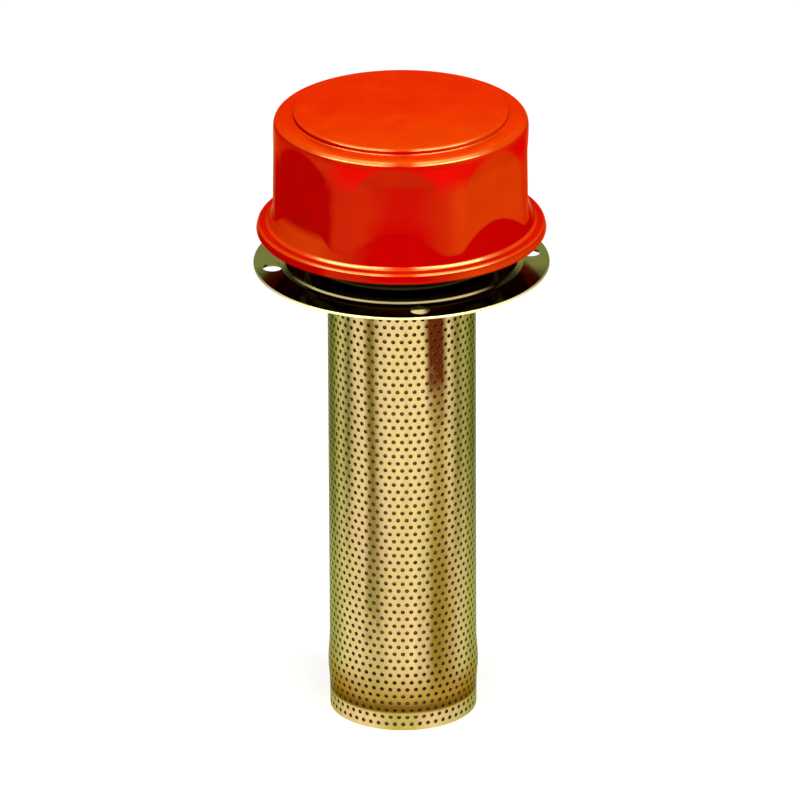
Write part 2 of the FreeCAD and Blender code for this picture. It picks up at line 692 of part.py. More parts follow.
def make_cover_form(label, inset, top_round, foot_round, crown_edge_round, upper_extra):
    """The cover's form, taken in by an expression: flats, shoulder and crown over a conical flare."""
    body = new_body(label)
    side = f"({cover_radius} - {inset})"
    flat = f"({flat_radius} - {inset})"
    beyond = f"({side} + facet_depth - 2 * cover_draft)"
    crown = f"({crown_radius} - {inset})"
    shoulder = f"({shoulder_top} - {inset})"
    top = f"({crown_top} - {inset})"
    crease = f"({shoulder_top} - facet_crease)"
    arch = f"({shoulder_top} - facet_arch)"
    turn(body, label + "_upper", [
        ("0", brim_top),
        (side, brim_top),
        (f"{side} - cover_draft", shoulder, top_round),
        (crown, shoulder, foot_round),
        (crown, top, crown_edge_round),
    ] + upper_extra(top))
    sketch = new_sketch(body, label + "_flat_outline", "XZ_Plane")
    draw_outline(sketch, [
        (flat, brim_low),
        (beyond, brim_low),
        (beyond, f"2 * {arch} - {crease}"),
        (flat, crease, "crease_round"),
    ])
    pocket = cut_through(body, label + "_flat", sketch)
    repeat_round(body, label + "_flats", [pocket], "facet_count")
    return body


def flare_height_at(radius):
    """Where the conical flare, carried on upwards, has shrunk to a radius."""
    return f"({brim_top} + flare_rise + ({cover_radius} - {radius}) * flare_rise / flare_run)"


def make_cap_cover():
    """The moulded cover: outside form less a core of the same form one wall smaller."""
    inner_flare = f"({flat_radius} - flare_bite)"
    outside = make_cover_form("cover_outside", "0", "shoulder_round", "crown_foot_round",
                              "crown_round", lambda top: [("0", top)])
    turn(outside, "cover_brim", [
        ("0", brim_low),
        (brim_radius, brim_low, "brim_round"),
        (f"{brim_radius} - brim_taper", brim_top, "brim_round"),
        (flare_foot, brim_top, "brim_foot_round"),
        (inner_flare, flare_height_at(inner_flare)),
        ("0", flare_height_at(inner_flare)),
    ])

    def boss_and_insert(top):
        return [
            ("boss_radius", top),
            ("boss_radius", boss_low),
            ("insert_radius", boss_low),
            ("insert_radius", insert_top),
            ("0", insert_top),
        ]

    core = make_cover_form("cover_core", "cover_wall", "inside_round", "inside_round",
                           "inside_round", boss_and_insert)
    rib_low = f"({shoulder_top} - cover_wall - rib_height)"
    rib_sketch = new_sketch(core, "rib_outline", "XY_Plane", rib_low)
    draw_outline(rib_sketch, [
        ("spring_radius + spring_wire + rib_gap", "-rib_thick / 2"),
        (cover_radius, "-rib_thick / 2"),
        (cover_radius, "rib_thick / 2"),
        ("spring_radius + spring_wire + rib_gap", "rib_thick / 2"),
    ])
    rib = cut_depth(core, "rib", rib_sketch, f"{ceiling} - {rib_low}", True)
    repeat_round(core, "ribs", [rib], "facet_count")
    turn(core, "cover_mouth", [
        ("0", f"{brim_low} - cover_wall"),
        (f"{flare_foot} - cover_wall", f"{brim_low} - cover_wall"),
        (f"{flare_foot} - cover_wall", brim_top),
        (f"{inner_flare} - cover_wall", flare_height_at(inner_flare)),
        ("0", flare_height_at(inner_flare)),
    ])
    cover = doc.addObject("Part::Cut", "cap_cover")
    cover.Label = "cap_cover"
    cover.Base = outside
    cover.Tool = core
    drive(cover, "Placement.Rotation.Angle", "facet_turn")
    doc.recompute()
    return cover


nodes = [
    make_flange_plate(),
    make_bayonet_ring(),
    plain_ring("flange_gasket", f"{skirt_outer} + gasket_room", seat_radius, "0", "gasket_thick"),
    make_strainer_collar(),
    make_strainer_tube(),
    make_strainer_bottom(),
    plain_ring("strainer_gauze", f"{cup_radius} - gauze_thick", cup_radius, f"{cup_top} + fit_gap",
               tube_top),
    make_seal_plate(),
    plain_ring("cap_seal", f"{lip_inner} + seal_inset", f"{neck_radius} + seal_overhang",
               ring_top, plate_low),
    plain_ring("felt_seal", core_inner, f"{element_radius} - plate_bend", plate_top, felt_top),
    make_element_bottom_cap(),
    make_element_core(),
    make_pleated_paper(),
    make_element_top_cap(),
    make_cap_cover(),
    plain_ring("threaded_insert", "screw_radius", "insert_radius", boss_low, insert_top),
    plain_ring("spacer_sleeve", sleeve_inner, sleeve_radius, strip_top, boss_low),
    make_bayonet_strip(),
    make_spring_washer(),
    make_centre_screw(),
    make_seal_spring(),
]

doc.recompute()
for thing in doc.Objects:
    if "Invalid" in thing.State or "Error" in thing.State:
        raise RuntimeError("%s has failed: %s" % (thing.Label, thing.State))
for node in nodes:
    if node.Shape.isNull() or not node.Shape.isValid():
        raise RuntimeError(node.Label + " has no valid shape")

os.makedirs("parts", exist_ok=True)
for node in nodes:
    node.Shape.exportStep("parts/%s.step" % node.Label)
    print("%-20s solids %d  volume %.1f" % (node.Label, len(node.Shape.Solids), node.Shape.Volume))
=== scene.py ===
import math

import bmesh
import bpy
import numpy as np
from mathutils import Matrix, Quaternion, Vector
from mathutils.geometry import delaunay_2d_cdt


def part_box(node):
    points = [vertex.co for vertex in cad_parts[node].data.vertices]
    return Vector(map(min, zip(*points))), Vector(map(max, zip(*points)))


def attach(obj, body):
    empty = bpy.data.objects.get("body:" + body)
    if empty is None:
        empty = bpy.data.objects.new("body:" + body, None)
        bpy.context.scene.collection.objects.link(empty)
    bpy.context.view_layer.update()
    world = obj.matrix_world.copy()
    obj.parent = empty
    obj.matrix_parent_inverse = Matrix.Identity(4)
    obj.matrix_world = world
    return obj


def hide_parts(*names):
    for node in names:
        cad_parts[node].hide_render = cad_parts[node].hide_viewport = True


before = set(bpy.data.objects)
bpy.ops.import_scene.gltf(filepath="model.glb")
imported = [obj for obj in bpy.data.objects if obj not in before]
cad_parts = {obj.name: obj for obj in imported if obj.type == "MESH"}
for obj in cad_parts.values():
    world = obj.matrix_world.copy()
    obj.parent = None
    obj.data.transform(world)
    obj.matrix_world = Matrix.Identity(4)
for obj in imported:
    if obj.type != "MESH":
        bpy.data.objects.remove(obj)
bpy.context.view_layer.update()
MM = 0.001


# Sizes in millimetres, with the places taken from the frame.
def node_box(name):
    """Lowest and highest corner of a node, in millimetres."""
    low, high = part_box(name)
    return Vector(low) / MM, Vector(high) / MM


photo_azimuth = -8.0
photo_elevation = 23.44
photo_pixels = 800
cap_low, cap_high = node_box("cap_cover")
tube_low, tube_high = node_box("strainer_tube")
cup_low, cup_high = node_box("strainer_bottom")

# Flange
seat_inset = 8.6
neck_inset = 15.5
flange_edge = node_box("flange_plate")[1].x
seat_edge = flange_edge - seat_inset
neck_radius = flange_edge - neck_inset

# Strainer
bead_height = 0.42
bead_start = 6.0
bead_rise = 7.5
bead_fall = 8.5
sheet = 0.6
tube_radius = tube_high.x - bead_height
holes_round = 55
hole_pitch = 2 * math.pi * tube_radius / holes_round
row_step = 2.175
hole_radius = 0.62
hole_sides = 12
cup_hole_sides = 8
plain_foot = 1.9
plain_head = 6.4
cup_bend = 1.8
cup_plain_edge = 1.4
gauze_pitch = 0.85

# Cap cover
facet_count = 7
facet_turn = math.radians(-100.6)
facet_depth = 2.6
cover_draft = 0.7
crease_below_shoulder = 8.0
arch_below_shoulder = 1.8
crease_softness = 1.2
flat_softness = 0.45
flare_softness = 0.25
wall = 2.3
brim_reach = 4.3
brim_thick = 3.4
brim_round = 1.3
crown_inset = 6.2
crown_rise = 1.7
crown_round = 1.1
crown_foot_round = 0.5
shoulder_round = 2.4
flare_run = 1.4
flare_rise = 3.15
flare_foot_round = 0.6
brim_radius = cap_high.x
cover_radius = brim_radius - brim_reach
flat_radius = cover_radius - facet_depth
crown_radius = cover_radius - crown_inset
crown_top = cap_high.z
shoulder_top = crown_top - crown_rise
crease = shoulder_top - crease_below_shoulder
flat_lean = (facet_depth - cover_draft) / (crease_below_shoulder - arch_below_shoulder)
brim_low = cap_low.z
brim_top = brim_low + brim_thick
flare_slope = flare_run / flare_rise
flare_foot = cover_radius + flare_run
ceiling = crown_top - wall
shoulder_ceiling = shoulder_top - wall
boss_radius = 7.0
boss_chamfer = 0.3
rib_start = 11.2
rib_thick = 1.6
rib_height = 2.2


# Mesh helpers
def make_object(name, mesh, body, replaced=()):
    """Link a mesh as a piece that rides with a body and stands for some nodes."""
    piece = bpy.data.objects.new(name, mesh)
    bpy.context.scene.collection.objects.link(piece)
    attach(piece, body)
    if replaced:
        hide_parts(*replaced)
    return piece


def mesh_from(name, points, faces):
    """A smooth-shaded mesh from points in millimetres."""
    mesh = bpy.data.meshes.new(name)
    mesh.from_pydata((np.asarray(points, float) * MM).tolist(), [], faces)
    mesh.polygons.foreach_set("use_smooth", [True] * len(mesh.polygons))
    mesh.update()
    return mesh


def arc_points(centre, radius, start, stop, steps):
    """Points (across, up) on an arc between two angles in degrees."""
    angles = np.radians(np.linspace(start, stop, steps + 1))
    return [(centre[0] + radius * math.cos(a), centre[1] + radius * math.sin(a)) for a in angles]


def circle(radius, sides, centre=(0, 0)):
    """Points (across, along) on a circle."""
    angles = [2 * math.pi * side / sides for side in range(sides)]
    return [(centre[0] + radius * math.cos(a), centre[1] + radius * math.sin(a)) for a in angles]


# Perforated strainer
def tube_outside(height):
    """Outside radius of the strainer tube, with its swaged bead."""
    low = tube_low.z + bead_start
    crest = low + bead_rise
    up = np.clip((height - low) / bead_rise, 0, 1)
    down = np.clip((crest + bead_fall - height) / bead_fall, 0, 1)
    share = np.minimum(up, down)
    return tube_radius + bead_height * (0.5 - 0.5 * np.cos(math.pi * share))


def perforated_tube():
    """One six-sided cell of sheet round each hole, on the outside and the inside."""
    first = tube_low.z + plain_foot
    rows = int((tube_high.z - plain_head - first) / row_step) + 1
    half = math.pi / holes_round
    line = 2 * holes_round
    corner_shift = hole_pitch ** 2 / (8 * row_step)
    near, far = row_step / 2 - corner_shift, row_step / 2 + corner_shift
    places = []

    def add(angle, height):
        places.append((angle, height))
        return len(places) - 1

    zigzag = []
    for row in range(rows + 1):
        height = first + row * row_step
        zigzag.append([add(k * half, height - (far if k % 2 == row % 2 else near)) for k in range(line)])
    foot = [add(k * half, tube_low.z) for k in range(line)]
    head = [add(k * half, tube_high.z) for k in range(line)]
    cells = []
    rims = []
    for row in range(rows):
        height = first + row * row_step
        for place in range(holes_round):
            centre = 2 * place + row % 2
            rim = []
            for side in range(hole_sides):
                turn = 2 * math.pi * (side + 1) / hole_sides
                rim.append(add(centre * half + hole_radius * math.cos(turn) / tube_radius,
                               height + hole_radius * math.sin(turn)))
            rims.append(rim)
            above, below = zigzag[row + 1], zigzag[row]
            right, middle, left = (centre + 1) % line, centre % line, (centre - 1) % line
            corners = [above[right], above[middle], above[left], below[left], below[middle], below[right]]
            for corner in range(6):
                cells.append([corners[corner], corners[(corner + 1) % 6], rim[(2 * corner + 2) % hole_sides],
                              rim[(2 * corner + 1) % hole_sides], rim[2 * corner]])
    for k in range(line):
        after = (k + 1) % line
        cells.append([foot[k], foot[after], zigzag[0][after], zigzag[0][k]])
        cells.append([zigzag[-1][k], zigzag[-1][after], head[after], head[k]])
    angle, height = np.array(places).T
    outside = tube_outside(height)
    points = []
    for radius in (outside, outside - sheet):
        points.append(np.column_stack([radius * np.cos(angle), radius * np.sin(angle), height]))
    count = len(places)
    faces = [list(cell) for cell in cells]
    faces += [[index + count for index in reversed(cell)] for cell in cells]
    surface_faces = len(faces)
    for rim in rims:
        for side in range(hole_sides):
            here, there = rim[side], rim[(side + 1) % hole_sides]
            faces.append([here, there, there + count, here + count])
    for ring, flip in ((foot, False), (head, True)):
        for k in range(line):
            here, there = ring[k], ring[(k + 1) % line]
            edge = [here, here + count, there + count, there]
            faces.append(edge[::-1] if flip else edge)
    mesh = mesh_from("perforated_tube", np.vstack(points), faces)
    step = 0.01
    slope = (tube_outside(height + step) - tube_outside(height - step)) / (2 * step)
    normal = np.column_stack([np.cos(angle), np.sin(angle), -slope])
    normal /= np.linalg.norm(normal, axis=1)[:, None]
    true_normals(mesh, np.vstack([normal, -normal]), surface_faces)
    inner = np.ones(len(mesh.polygons), dtype=np.int32)
    inner[:len(cells)] = 0
    mesh.polygons.foreach_set("material_index", inner)
    return mesh


def true_normals(mesh, normals, surface_faces):
    """Shade the first faces by the normals of the form itself, and the rest flat."""
    corners = np.empty(len(mesh.loops), dtype=int)
    mesh.loops.foreach_get("vertex_index", corners)
    totals = np.empty(len(mesh.polygons), dtype=int)
    mesh.polygons.foreach_get("loop_total", totals)
    flat = np.empty(3 * len(mesh.polygons))
    mesh.polygons.foreach_get("normal", flat)
    shading = np.repeat(flat.reshape(-1, 3), totals, axis=0)
    on_surface = np.repeat(np.arange(len(totals)) < surface_faces, totals)
    shading[on_surface] = normals[corners[on_surface]]
    mesh.normals_split_custom_set(shading.tolist())


def perforated_cup():
    """The strainer's bottom: a perforated disc with a bent edge and a skirt."""
    outer = cup_high.x
    flat_edge = outer - cup_bend
    reach = flat_edge - cup_plain_edge
    segments = 96
    flat_points = [Vector(point) for point in circle(flat_edge, segments)]
    loops = [list(range(segments))]
    centres = []
    rows = int(reach / row_step) + 1
    for row in range(-rows, rows + 1):
        for place in range(-rows - 1, rows + 2):
            across = (place + 0.5 * (row % 2)) * hole_pitch
            along = row * row_step
            if math.hypot(across, along) > reach:
                continue
            centres.append((across, along))
            start = len(flat_points)
            flat_points += [Vector(point) for point in circle(hole_radius, cup_hole_sides, (across, along))]
            loops.append(list(range(start, start + cup_hole_sides)))
    edges = [(loop[k], loop[(k + 1) % len(loop)]) for loop in loops for k in range(len(loop))]
    points, _, triangles = delaunay_2d_cdt(flat_points, edges, [], 0, 1e-6)[:3]
    middles = np.array(centres)
    kept = []
    for triangle in triangles:
        middle = sum((points[index] for index in triangle), Vector((0, 0))) / 3
        if np.hypot(middles[:, 0] - middle.x, middles[:, 1] - middle.y).min() < hole_radius * 0.92:
            continue
        kept.append(list(triangle))
    count = len(points)
    top, low = cup_high.z, cup_high.z - sheet
    body = [(point.x, point.y, top) for point in points] + [(point.x, point.y, low) for point in points]
    faces = kept + [[index + count for index in reversed(face)] for face in kept]
    for loop in loops[1:]:
        for k, here in enumerate(loop):
            there = loop[(k + 1) % len(loop)]
            faces.append([there, here, here + count, there + count])
    section = arc_points((flat_edge, top - cup_bend), cup_bend, 90, 0, 6) + [(outer, cup_low.z)]
    section += [(outer - sheet, cup_low.z)]
    section += arc_points((flat_edge, top - cup_bend), cup_bend - sheet, 0, 90, 6)
    rings = []
    for radius, height in section:
        rings.append(len(body))
        body += [(across, along, height) for across, along in circle(radius, segments)]
    for start, following in zip(rings, rings[1:]):
        for k in range(segments):
            after = (k + 1) % segments
            faces.append([start + k, following + k, following + after, start + after])
    mesh = mesh_from("perforated_cup", body, faces)
    editing = bmesh.new()
    editing.from_mesh(mesh)
    bmesh.ops.remove_doubles(editing, verts=editing.verts, dist=1e-6)
    bmesh.ops.recalc_face_normals(editing, faces=editing.faces)
    editing.to_mesh(mesh)
    editing.free()
    mesh.set_sharp_from_angle(angle=math.radians(40))
    for face in mesh.polygons:
        middle = face.center / MM
        if middle.z < top - cup_bend and math.hypot(middle.x, middle.y) > outer - sheet / 4:
            face.material_index = 1
    return mesh


# Cap cover
def soft_min(first, second, width):
    """The lower of two values, with their meeting rounded over a width."""
    share = np.clip(0.5 + 0.5 * (second - first) / width, 0, 1)
    return second + (first - second) * share - width * share * (1 - share)


def soft_max(first, second, width):
    """The higher of two values, with their meeting rounded over a width."""
    return -soft_min(-first, -second, width)


def cover_surface_radius(angle, radius, height, inset):
    """Radius of the cover's side at an angle: the round side cut by seven flats over a conical flare."""
    pitch = 2 * math.pi / facet_count
    from_flat = (angle - facet_turn + pitch / 2) % pitch - pitch / 2
    bend = soft_max(np.zeros_like(height), height - crease, crease_softness)
    flat = (flat_radius + bend * flat_lean - inset) / np.cos(from_flat)
    side = soft_min(radius, flat, flat_softness)
    cone = flare_foot - (height - brim_top) * flare_slope - inset
    return soft_max(side, cone, flare_softness)


def side_radius(height):
    """Radius of the cover's round side, which narrows towards the shoulder."""
    return cover_radius - cover_draft * (height - brim_top) / (shoulder_top - brim_top)


def cover_section():
    """Rows of (radius, height, inset, shaped) down the outside, under the brim and up the inside."""
    rows = [(radius, crown_top, 0, False)
            for radius in np.linspace(0.5, crown_radius - crown_round - 0.1, 14)]
    edge = arc_points((crown_radius - crown_round, crown_top - crown_round), crown_round, 90, 0, 8)
    foot = arc_points((crown_radius + crown_foot_round, shoulder_top + crown_foot_round), crown_foot_round,
                      180, 270, 5)
    rows += [(radius, height, 0, False) for radius, height in edge + foot]
    shoulder_edge = side_radius(shoulder_top) - shoulder_round
    rows += [(radius, shoulder_top, 0, False)
             for radius in np.linspace(crown_radius + 1.2, shoulder_edge - 0.3, 4)]
    shoulder = arc_points((shoulder_edge, shoulder_top - shoulder_round), shoulder_round, 90, 0, 14)
    rows += [(radius, height, 0, True) for radius, height in shoulder]
    rows += [(side_radius(height), height, 0, True)
             for height in np.linspace(shoulder_top - shoulder_round - 0.2, brim_top + 0.7, 70)]
    rows += [(radius, height, 0, False) for radius, height in
             arc_points((flare_foot + 0.55, brim_top + flare_foot_round), flare_foot_round, 205, 270, 5)]
    edge_top = arc_points((brim_radius - brim_round - 0.25, brim_top - brim_round), brim_round, 90, 5, 8)
    edge_low = arc_points((brim_radius - brim_round, brim_low + brim_round), brim_round, 0, -90, 8)
    rows += [(radius, height, 0, False) for radius, height in edge_top + edge_low]
    rows += [(flare_foot - wall, brim_low, 0, False), (flare_foot - wall, brim_top, 0, False)]
    rows += [(side_radius(height) - wall, height, wall, True)
             for height in np.linspace(brim_top + 0.5, shoulder_ceiling - 0.6, 44)]
    rows += [(side_radius(shoulder_top) - wall - 0.5, shoulder_ceiling, wall, False),
             (crown_radius - wall, shoulder_ceiling, 0, False),
             (crown_radius - wall, ceiling, 0, False), (0.5, ceiling, 0, False)]
    return rows


def cap_cover_mesh():
    """The moulded cover as one grid of rows and directions."""
    directions = 60 * facet_count
    angle = facet_turn + 2 * math.pi * np.arange(directions) / directions
    rows = cover_section()
    points = []
    for radius, height, inset, shaped in rows:
        across = np.full(directions, float(radius))
        if shaped:
            across = cover_surface_radius(angle, across, np.full(directions, float(height)), inset)
        points.append(np.column_stack([across * np.cos(angle), across * np.sin(angle),
                                       np.full(directions, float(height))]))
    faces = []
    for row in range(len(rows) - 1):
        for k in range(directions):
            after = (k + 1) % directions
            faces.append([row * directions + k, (row + 1) * directions + k,
                          (row + 1) * directions + after, row * directions + after])
    last = (len(rows) - 1) * directions
    faces.append(list(range(directions)))
    faces.append([last + k for k in reversed(range(directions))])
    points = np.vstack(points).tolist()
    for form_points, form_faces in [centre_boss()] + [rib(number) for number in range(facet_count)]:
        start = len(points)
        points += form_points
        faces += [[start + index for index in face] for face in form_faces]
    mesh = mesh_from("cap_shell", points, faces)
    mesh.set_sharp_from_angle(angle=math.radians(50))
    return mesh


def centre_boss():
    """The round boss under the ceiling, bored for the threaded insert."""
    insert_low, insert_high = node_box("threaded_insert")
    section = [(insert_high.x, insert_high.z), (insert_high.x, insert_low.z),
               (boss_radius - boss_chamfer, insert_low.z), (boss_radius, insert_low.z + boss_chamfer),
               (boss_radius, ceiling + wall / 2)]
    segments = 64
    points = []
    for radius, height in section:
        points += [(across, along, height) for across, along in circle(radius, segments)]
    faces = []
    for row in range(len(section) - 1):
        for k in range(segments):
            after = (k + 1) % segments
            faces.append([row * segments + k, row * segments + after,
                          (row + 1) * segments + after, (row + 1) * segments + k])
    faces.append(list(reversed(range(segments))))
    return points, faces


def rib(number):
    """One radial rib under the crown, from beside the spring to the wall, along the middle of a flat."""
    low = shoulder_ceiling - rib_height
    angle = facet_turn + 2 * math.pi * number / facet_count
    corners = []
    for along, top in ((rib_start, ceiling), (flat_radius - wall / 2, shoulder_ceiling)):
        for across in (-rib_thick / 2, rib_thick / 2):
            for height in (low, top + wall / 2):
                corners.append((along * math.cos(angle) - across * math.sin(angle),
                                along * math.sin(angle) + across * math.cos(angle), height))
    faces = [[0, 1, 3, 2], [4, 6, 7, 5], [0, 4, 5, 1], [2, 3, 7, 6], [0, 2, 6, 4], [1, 5, 7, 3]]
    return corners, faces


# Materials
class Paint:
    """A Principled material with a short way to add and join its nodes."""

    def __init__(self, name, **values):
        self.material = bpy.data.materials.new(name)
        self.material.use_nodes = True
        self.tree = self.material.node_tree
        self.shader = self.tree.nodes["Principled BSDF"]
        for key, value in values.items():
            self.shader.inputs[key.replace("_", " ")].default_value = value
        self.place = self.node("ShaderNodeTexCoord").outputs["Object"]

    def node(self, kind, inputs=None, **settings):
        """Add a node: settings are its options, inputs its values or the sockets they come from."""
        made = self.tree.nodes.new(kind)
        for key, value in settings.items():
            setattr(made, key, value)
        for key, value in (inputs or {}).items():
            if isinstance(value, bpy.types.NodeSocket):
                self.tree.links.new(value, made.inputs[key])
            else:
                made.inputs[key].default_value = value
        return made

    def noise(self, size, detail=4.0, stretch=(1, 1, 1)):
        """Noise whose features are about a size in millimetres, stretched by factors along X, Y and Z."""
        scaled = self.node("ShaderNodeMapping", {"Vector": self.place, "Scale": [1 / s for s in stretch]})
        return self.node("ShaderNodeTexNoise", {"Vector": scaled.outputs[0], "Scale": 1 / (size * MM),
                                                "Detail": detail}).outputs["Fac"]

    def ramp(self, value, stops):
        """Colours at places from 0 to 1 along a value."""
        made = self.node("ShaderNodeValToRGB", {"Fac": value})
        elements = made.color_ramp.elements
        while len(elements) < len(stops):
            elements.new(0.5)
        for element, (where, colour) in zip(elements, stops):
            element.position = where
            element.color = (*colour, 1)
        return made.outputs["Color"]

    def spread(self, value, low, high):
        """The value carried from its middle range to the range low to high."""
        return self.node("ShaderNodeMapRange", {"Value": value, "From Min": 0.3, "From Max": 0.7,
                                                "To Min": low, "To Max": high}).outputs[0]

    def blend(self, share, first, second):
        """One colour turning into another as a share goes from 0 to 1."""
        made = self.node("ShaderNodeMix", data_type="RGBA")
        for place, socket in ((0, share), (6, first), (7, second)):
            self.tree.links.new(socket, made.inputs[place])
        return made.outputs[2]

    def math(self, operation, first, second=0.0, third=0.0):
        """One sum on values or sockets."""
        return self.node("ShaderNodeMath", {0: first, 1: second, 2: third}, operation=operation).outputs[0]

    def product(self, *shares):
        """Some shares multiplied with each other."""
        result = shares[0]
        for share in shares[1:]:
            result = self.math("MULTIPLY", result, share)
        return result

    def between(self, value, low, high):
        """From 0 to 1 as a length goes from low to high, in millimetres."""
        return self.node("ShaderNodeMapRange", {"Value": value, "From Min": low * MM,
                                                "From Max": high * MM}).outputs[0]

    def steps(self, value, low, high):
        """From 0 to 1 as a plain value goes from low to high."""
        return self.node("ShaderNodeMapRange", {"Value": value, "From Min": low, "From Max": high}).outputs[0]

    def turn_from_front(self, place, wander):
        """Share of a turn round the axis, 0.5 at the photograph's front, a little uneven."""
        turn = self.math("ARCTAN2", place.outputs["Y"], place.outputs["X"])
        share = self.math("MULTIPLY_ADD", turn, 0.5 / math.pi, 0.5 + (90 - photo_azimuth) / 360)
        uneven = self.math("MULTIPLY_ADD", wander, 0.03, -0.015)
        return self.math("FRACT", self.math("ADD", share, uneven))

    def bands(self, placed, stops):
        """Colours by degrees from the front."""
        return self.ramp(placed, [((angle + 180) / 360, colour) for angle, colour in stops])

    def facing(self, placed, middle, half_width):
        """1 round a direction in degrees from the front, fading to 0 at half a width on each side."""
        return self.window(placed, (middle + 180) / 360, half_width / 360)

    def distance_from_axis(self, place):
        """Radius from the object's axis."""
        across = self.node("ShaderNodeCombineXYZ", {"X": place.outputs["X"], "Y": place.outputs["Y"]})
        return self.node("ShaderNodeVectorMath", {0: across.outputs[0]}, operation="LENGTH").outputs["Value"]

    def window(self, value, middle, half_width):
        """1 near a middle value, fading to 0 at half a width on each side."""
        offset = self.math("ABSOLUTE", self.math("SUBTRACT", value, middle))
        return self.node("ShaderNodeMapRange", {"Value": offset, "From Min": half_width,
                                                "From Max": half_width / 2}).outputs[0]

    def levels(self, value, stops):
        """Grey levels at places from 0 to 1 along a value."""
        return self.ramp(value, [(where, (level, level, level)) for where, level in stops])

    def tint(self, colours, shares, base):
        """A colour turned towards others, one after the other, each by its own share."""
        for colour, share in zip(colours, shares):
            made = self.node("ShaderNodeMix", data_type="RGBA")
            made.inputs[7].default_value = (*colour, 1)
            self.tree.links.new(share, made.inputs[0])
            self.tree.links.new(base, made.inputs[6])
            base = made.outputs[2]
        return base

    def multiply(self, first, second):
        """One colour darkened by another."""
        made = self.node("ShaderNodeMix", data_type="RGBA", blend_type="MULTIPLY")
        made.inputs[0].default_value = 1.0
        self.tree.links.new(first, made.inputs[6])
        self.tree.links.new(second, made.inputs[7])
        return made.outputs[2]

    def join(self, key, socket):
        """Feed a shader input from a node."""
        self.tree.links.new(socket, self.shader.inputs[key])

    def mottled(self, size, dark, light, detail=4.0):
        """Base colour that wanders between two colours, with patches of a size in millimetres."""
        self.join("Base Color", self.ramp(self.noise(size, detail), [(0.3, dark), (0.7, light)]))

    def uneven_gloss(self, size, low, high):
        """Roughness that wanders between two values, with patches of a size in millimetres."""
        self.join("Roughness", self.spread(self.noise(size), low, high))

    def bump(self, height, depth):
        """Surface relief of a depth in millimetres."""
        made = self.node("ShaderNodeBump", {"Height": height, "Distance": depth * MM})
        self.join("Normal", made.outputs[0])


# A colour that changes nothing where it multiplies another
PLAIN = (1.0, 1.0, 1.0)

# Colours of the cap: its red, and lit and shaded copies of it for painted light, shade, reflections and
# highlights
DEEP_RED = (0.58, 0.0006, 0.0004)
DARK_RED = (0.46, 0.0022, 0.0008)
RED = (0.55, 0.005, 0.001)
BRIGHT_RED = (0.76, 0.004, 0.001)
WARM_RED = (0.57, 0.017, 0.002)
ORANGE_RED = (0.68, 0.044, 0.002)
UPPER_RED = (0.88, 0.050, 0.001)
UPPER_ORANGE = (0.92, 0.088, 0.002)
BRIM_RED = (0.75, 0.024, 0.003)
EDGE_RED = (0.86, 0.070, 0.005)
PAINTED_EDGE_HIGHLIGHT = (1.0, 0.33, 0.09)

# Heights in millimetres between which the cap's colours fade in
FLARE_RISE = (27, 24)
LEFT_FLARE_RISE = (19, 21)
FRONT_PATCH_RISE = (29, 23)
BRIM_RISE = (18, 16)

# Painted light, shade and reflections, with painted highlights on the edges: colours round the cap's flats,
# its round side, its edges and its flare, by degrees from its front
FLAT_BANDS = [(-180, RED), (-140, WARM_RED), (-110, ORANGE_RED), (-80, DARK_RED), (-33, DARK_RED),
              (-29, WARM_RED), (-17, WARM_RED), (-6, RED), (6, RED), (20, WARM_RED), (28, ORANGE_RED),
              (75, ORANGE_RED), (110, WARM_RED), (150, DARK_RED), (180, RED)]
SIDE_BANDS = [(-180, WARM_RED), (-85, ORANGE_RED), (-35, WARM_RED), (-25, BRIGHT_RED), (75, BRIGHT_RED),
              (140, RED), (180, WARM_RED)]
EDGE_HIGHLIGHT_BANDS = [(-180, EDGE_RED), (-46, EDGE_RED), (-28, PAINTED_EDGE_HIGHLIGHT), (-9, PAINTED_EDGE_HIGHLIGHT), (-3, EDGE_RED),
              (4, EDGE_RED), (9, PAINTED_EDGE_HIGHLIGHT), (32, PAINTED_EDGE_HIGHLIGHT), (48, EDGE_RED), (180, EDGE_RED)]
FLARE_BANDS = [(-180, RED), (-110, RED), (-80, ORANGE_RED), (-38, ORANGE_RED), (-24, WARM_RED),
               (-14, DEEP_RED), (80, DEEP_RED), (130, ORANGE_RED), (180, RED)]


